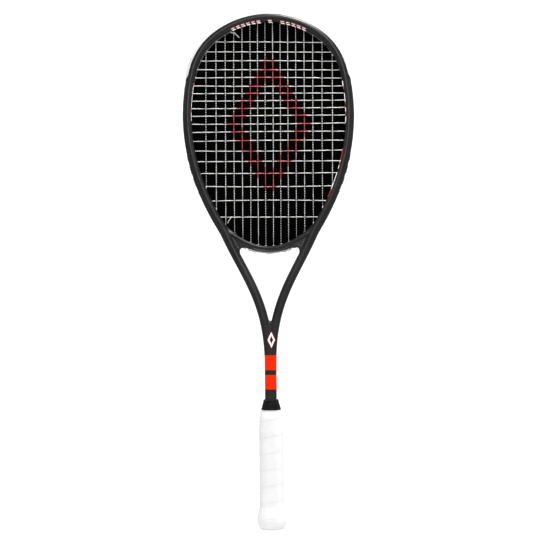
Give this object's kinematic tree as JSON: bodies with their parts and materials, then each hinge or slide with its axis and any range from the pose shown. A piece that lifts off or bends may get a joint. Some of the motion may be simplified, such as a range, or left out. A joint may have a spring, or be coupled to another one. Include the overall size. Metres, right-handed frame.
{
  "type": "squash racket",
  "caption": "Strung squash racket with an open throat, a pale bumper guard over the crown, a wrapped white handle and a rubber collar that slides on the shaft.",
  "frame": {"origin": "the middle of the butt's flat end", "axes": "+Z along the racket from the butt to the crown, X across the head, +Y out of the string bed's back face, so -Y is the face seen in the picture"},
  "size_m": [0.227, 0.034, 0.6855],
  "materials": {
    "graphite": "matte charcoal lacquer over carbon composite, with red and white bands",
    "pale_nylon": "satin, scuffed",
    "dark_nylon": "satin",
    "string": "satin nylon, part stencilled red",
    "foam": "moulded foam skin",
    "cap_plastic": "moulded, satin",
    "badge": "domed, blank",
    "staple_steel": "zinc plated wire",
    "grip": "white synthetic grip, fine pebble grain",
    "tape": "vinyl tape",
    "collar_rubber": "moulded rubber, matte"
  },
  "bodies": {
    "racket": {"frame": "graphite", "throat_bridge": "graphite", "bumper_guard": "pale_nylon", "grommet_strip_left": "dark_nylon", "grommet_strip_right": "dark_nylon", "throat_grommet_strip": "pale_nylon", "throat_grommet_left": "dark_nylon", "throat_grommet_right": "dark_nylon", "racket_string": "string", "handle_core_front": "foam", "handle_core_back": "foam", "butt_cap": "cap_plastic", "butt_medallion": "badge", "cap_staple_right": "staple_steel", "cap_staple_back": "staple_steel", "cap_staple_left": "staple_steel", "cap_staple_front": "staple_steel", "grip_wrap": "grip", "finishing_tape": "tape"},
    "collar": {"grip_collar": "collar_rubber"}
  },
  "joints": [
    {"name": "collar_slide", "type": "slide", "parent": "racket", "child": "collar", "axis": [0, 0, 1], "range_m": [0, 0.045]}
  ]
}
